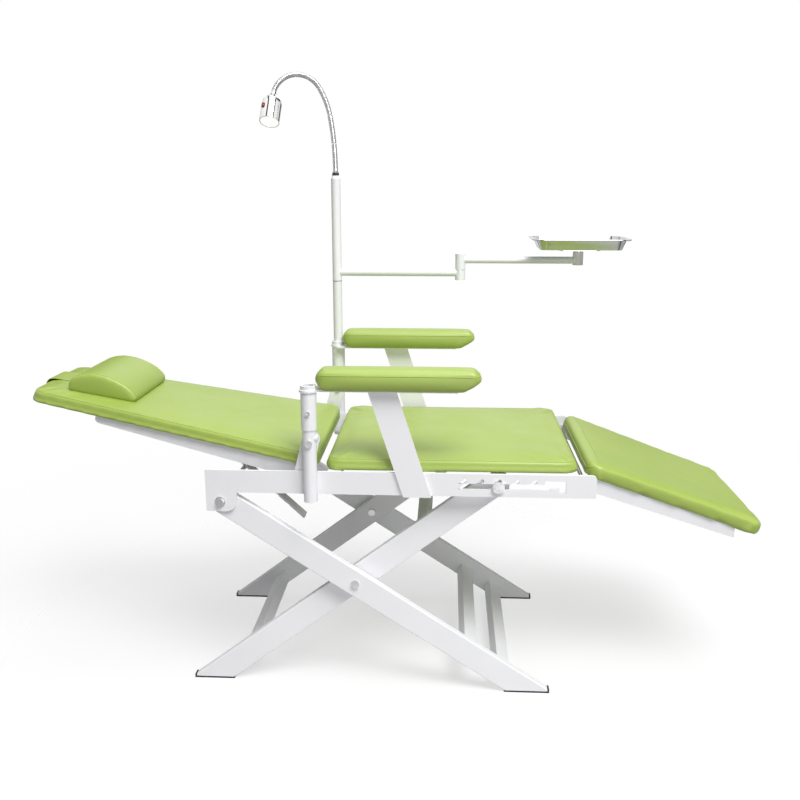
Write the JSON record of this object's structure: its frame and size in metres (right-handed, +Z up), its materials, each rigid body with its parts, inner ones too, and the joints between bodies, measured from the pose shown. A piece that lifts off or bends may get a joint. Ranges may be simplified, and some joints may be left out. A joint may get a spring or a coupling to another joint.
{
  "type": "portable folding dental chair",
  "caption": "Folding reclining treatment chair on scissor legs, with adjustable back, leg rest, armrests, gooseneck lamp and swinging instrument tray.",
  "frame": {"origin": "on the floor, under the middle of the chair's overall length and width, tray included", "axes": "+X towards the foot end, +Y towards the lamp and tray side, +Z up"},
  "size_m": [1.7913, 0.6876, 1.5051],
  "materials": {
    "white_steel": "white powder coat",
    "lime_leatherette": "smooth lime leatherette over foam",
    "plywood": "plain plywood",
    "zinc": "bright zinc plate",
    "black_rubber": "matt rubber",
    "white_plastic": "satin",
    "black_plastic": "satin",
    "polished_tray": "polished stainless steel",
    "chromed_neck": "ribbed chrome",
    "chromed_lamp": "polished chrome",
    "lens": "frosted",
    "red_plastic": "glossy"
  },
  "bodies": {
    "seat_frame": {"rail_near": "white_steel", "rail_far": "white_steel", "seat_cross_tubes": "white_steel", "seat_board": "plywood", "seat_cushion": "lime_leatherette", "posts": "white_steel", "post_caps": "white_plastic", "back_hinge_bolts": "zinc", "lug_pivot_rod": "zinc", "legrest_pivot_rod": "zinc", "pole_lower": "white_steel", "pole_washer": "black_plastic"},
    "outer_legs": {"leg_outer_near": "white_steel", "leg_outer_far": "white_steel", "leg_outer_crossbars": "white_steel", "leg_outer_pads": "black_rubber", "scissor_bolts": "zinc"},
    "inner_legs": {"leg_inner_near": "white_steel", "leg_inner_far": "white_steel", "leg_inner_crossbars": "white_steel", "leg_inner_pads": "black_rubber", "slot_pins": "zinc"},
    "back": {"back_bar_near": "white_steel", "back_bar_far": "white_steel", "back_cross_tubes": "white_steel", "back_gussets": "white_steel", "back_board": "plywood", "back_cushion": "lime_leatherette", "pillow": "lime_leatherette", "pillow_strap": "lime_leatherette", "prop_bracket": "white_steel", "prop_pin": "zinc"},
    "prop": {"prop_bar": "white_steel"},
    "leg_rest": {"legrest_bars": "white_steel", "legrest_cross_tubes": "white_steel", "legrest_board": "plywood", "legrest_cushion": "lime_leatherette"},
    "armrest_near": {"armrest_pad_near": "lime_leatherette", "armrest_frame_near": "white_steel", "armrest_screw_near": "zinc"},
    "armrest_far": {"armrest_pad_far": "lime_leatherette", "armrest_frame_far": "white_steel", "armrest_screw_far": "zinc"},
    "pole": {"pole_upper": "white_steel", "lamp_battery": "black_plastic", "tray_arm_inner": "white_steel", "hub_pin": "zinc"},
    "tray_arm": {"tray_arm_outer": "white_steel"},
    "tray": {"tray_holder": "zinc", "tray": "polished_tray"},
    "neck_base": {"neck_collar": "black_plastic"},
    "neck_1": {"neck_piece_1": "chromed_neck"},
    "neck_2": {"neck_piece_2": "chromed_neck"},
    "neck_3": {"neck_piece_3": "chromed_neck"},
    "neck_4": {"neck_piece_4": "chromed_neck"},
    "neck_5": {"neck_piece_5": "chromed_neck"},
    "lamp": {"lamp_housing": "chromed_lamp", "lamp_lens": "lens", "lamp_led_board": "white_plastic"},
    "lamp_switch": {"lamp_switch": "red_plastic"}
  },
  "joints": [
    {"name": "fold", "type": "hinge", "parent": "seat_frame", "child": "outer_legs", "pos_m": [-0.3906, -0.03375, 0.4855], "axis": [0, 1, 0], "range_deg": [-31.1, 9.1]},
    {"name": "scissor", "type": "hinge", "parent": "outer_legs", "child": "inner_legs", "pos_m": [-0.074, -0.03375, 0.2788], "axis": [0, 1, 0], "range_deg": [-17.6, 59.8]},
    {"name": "recline", "type": "hinge", "parent": "seat_frame", "child": "back", "pos_m": [-0.1725, -0.03375, 0.639], "axis": [0, 1, 0], "range_deg": [0, 40]},
    {"name": "prop_swing", "type": "hinge", "parent": "back", "child": "prop", "pos_m": [-0.4297, -0.03375, 0.532], "axis": [0, 1, 0], "range_deg": [-6.9, 0.1]},
    {"name": "leg_rest_tilt", "type": "hinge", "parent": "seat_frame", "child": "leg_rest", "pos_m": [0.466, -0.03375, 0.53], "axis": [0, 1, 0], "range_deg": [0, 70]},
    {"name": "armrest_near_height", "type": "slide", "parent": "seat_frame", "child": "armrest_near", "axis": [0, 0, 1], "range_m": [0, 0.09]},
    {"name": "armrest_far_height", "type": "slide", "parent": "seat_frame", "child": "armrest_far", "axis": [0, 0, 1], "range_m": [0, 0.09]},
    {"name": "pole_swivel", "type": "hinge", "parent": "seat_frame", "child": "pole", "pos_m": [-0.1725, 0.25385, 0.945], "axis": [0, 0, 1], "range_deg": [-170, 170]},
    {"name": "tray_arm_swing", "type": "hinge", "parent": "pole", "child": "tray_arm", "pos_m": [0.174, 0.25385, 0.977], "axis": [0, 0, 1], "range_deg": [-135, 135]},
    {"name": "tray_turn", "type": "hinge", "parent": "tray_arm", "child": "tray", "pos_m": [0.4995, 0.25385, 1.03], "axis": [0, 0, 1], "range_deg": [-180, 180]},
    {"name": "neck_turn", "type": "hinge", "parent": "pole", "child": "neck_base", "pos_m": [-0.1725, 0.25385, 1.234], "axis": [0, 0, 1], "range_deg": [-90, 90]},
    {"name": "neck_bend_1", "type": "hinge", "parent": "neck_base", "child": "neck_1", "pos_m": [-0.1725, 0.25385, 1.243], "axis": [0, 1, 0], "range_deg": [-9, 9]},
    {"name": "neck_bend_2", "type": "hinge", "parent": "neck_1", "child": "neck_2", "pos_m": [-0.17548, 0.25385, 1.31892], "axis": [0, 1, 0], "range_deg": [-9.1, 9.1]},
    {"name": "neck_bend_3", "type": "hinge", "parent": "neck_2", "child": "neck_3", "pos_m": [-0.18573, 0.25385, 1.39419], "axis": [0, 1, 0], "range_deg": [-9.1, 9.1]},
    {"name": "neck_bend_4", "type": "hinge", "parent": "neck_3", "child": "neck_4", "pos_m": [-0.21343, 0.25385, 1.4645], "axis": [0, 1, 0], "range_deg": [-9.1, 9.1]},
    {"name": "neck_bend_5", "type": "hinge", "parent": "neck_4", "child": "neck_5", "pos_m": [-0.2777, 0.25385, 1.49796], "axis": [0, 1, 0], "range_deg": [-9.1, 9.1]},
    {"name": "lamp_tilt", "type": "hinge", "parent": "neck_5", "child": "lamp", "pos_m": [-0.33631, 0.25385, 1.45616], "axis": [0, 1, 0], "range_deg": [-9.1, 9.1]},
    {"name": "lamp_switch_press", "type": "slide", "parent": "lamp", "child": "lamp_switch", "axis": [0.6416, 0.6364, -0.4282], "range_m": [0, 0.0012], "stiffness_N_per_m": 500, "springref_m": -0.0008}
  ],
  "couplings": [
    {"joint": "scissor", "follows": "fold", "ratio": -1.92},
    {"joint": "prop_swing", "follows": "recline", "ratio": -0.17},
    {"joint": "neck_bend_2", "follows": "neck_bend_1", "ratio": 1},
    {"joint": "neck_bend_3", "follows": "neck_bend_1", "ratio": 1},
    {"joint": "neck_bend_4", "follows": "neck_bend_1", "ratio": 1},
    {"joint": "neck_bend_5", "follows": "neck_bend_1", "ratio": 1},
    {"joint": "lamp_tilt", "follows": "neck_bend_1", "ratio": 1}
  ]
}
